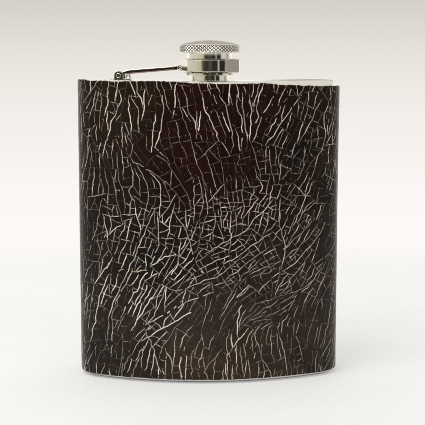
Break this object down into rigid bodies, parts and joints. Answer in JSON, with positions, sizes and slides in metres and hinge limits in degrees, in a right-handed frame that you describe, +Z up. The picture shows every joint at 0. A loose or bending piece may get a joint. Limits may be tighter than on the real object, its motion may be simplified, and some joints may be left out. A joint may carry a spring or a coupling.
{
  "type": "hip flask",
  "caption": "Kidney-shaped steel hip flask in a crackled leather wrap, with a knurled screw cap kept on a hinged arm.",
  "frame": {"origin": "the neck's axis in the plane the flask stands on", "axes": "+Z up along the neck, +X to the flask's right seen from the front, and the convex front faces -Y"},
  "size_m": [0.0944, 0.0314, 0.1213],
  "materials": {
    "polished_steel": "polished stainless steel",
    "hinge_steel": "tumbled stainless steel",
    "crackled_leather": "dark brown leather with pale cracks",
    "cap_plastic": "moulded natural white plastic",
    "gasket_rubber": "translucent silicone rubber"
  },
  "bodies": {
    "flask": {"body_shell": "polished_steel", "shoulder_plate": "polished_steel", "base_plate": "polished_steel", "neck": "polished_steel", "leather_wrap": "crackled_leather", "hinge_bracket": "hinge_steel"},
    "hinge": {"hinge_pin": "hinge_steel"},
    "arm": {"retaining_arm": "polished_steel"},
    "collar": {"collar_ring": "polished_steel", "collar_pin": "hinge_steel"},
    "cap": {"cap_head": "polished_steel", "cap_thread_insert": "cap_plastic", "cap_gasket": "gasket_rubber", "cap_retaining_washer": "polished_steel"}
  },
  "joints": [
    {"name": "arm_swing", "type": "hinge", "parent": "flask", "child": "hinge", "pos_m": [-0.03195, 0.00472, 0.10898], "axis": [-0.1461, -0.9893, 0], "range_deg": [0, 155]},
    {"name": "arm_rise", "type": "hinge", "parent": "hinge", "child": "arm", "pos_m": [-0.03195, 0.00472, 0.10898], "axis": [-0.1461, -0.9893, 0], "range_deg": [0, 7.04]},
    {"name": "collar_rise", "type": "slide", "parent": "hinge", "child": "collar", "axis": [0, 0, 1], "range_m": [0, 0.00281]},
    {"name": "cap_turn", "type": "hinge", "parent": "collar", "child": "cap", "pos_m": [0, 0, 0.1123], "axis": [0, 0, 1], "range_deg": [0, 720]}
  ],
  "couplings": [
    {"joint": "arm_rise", "follows": "cap_turn", "ratio": 0.0097087},
    {"joint": "collar_rise", "follows": "cap_turn", "m_per_rad": 0.00022282}
  ]
}
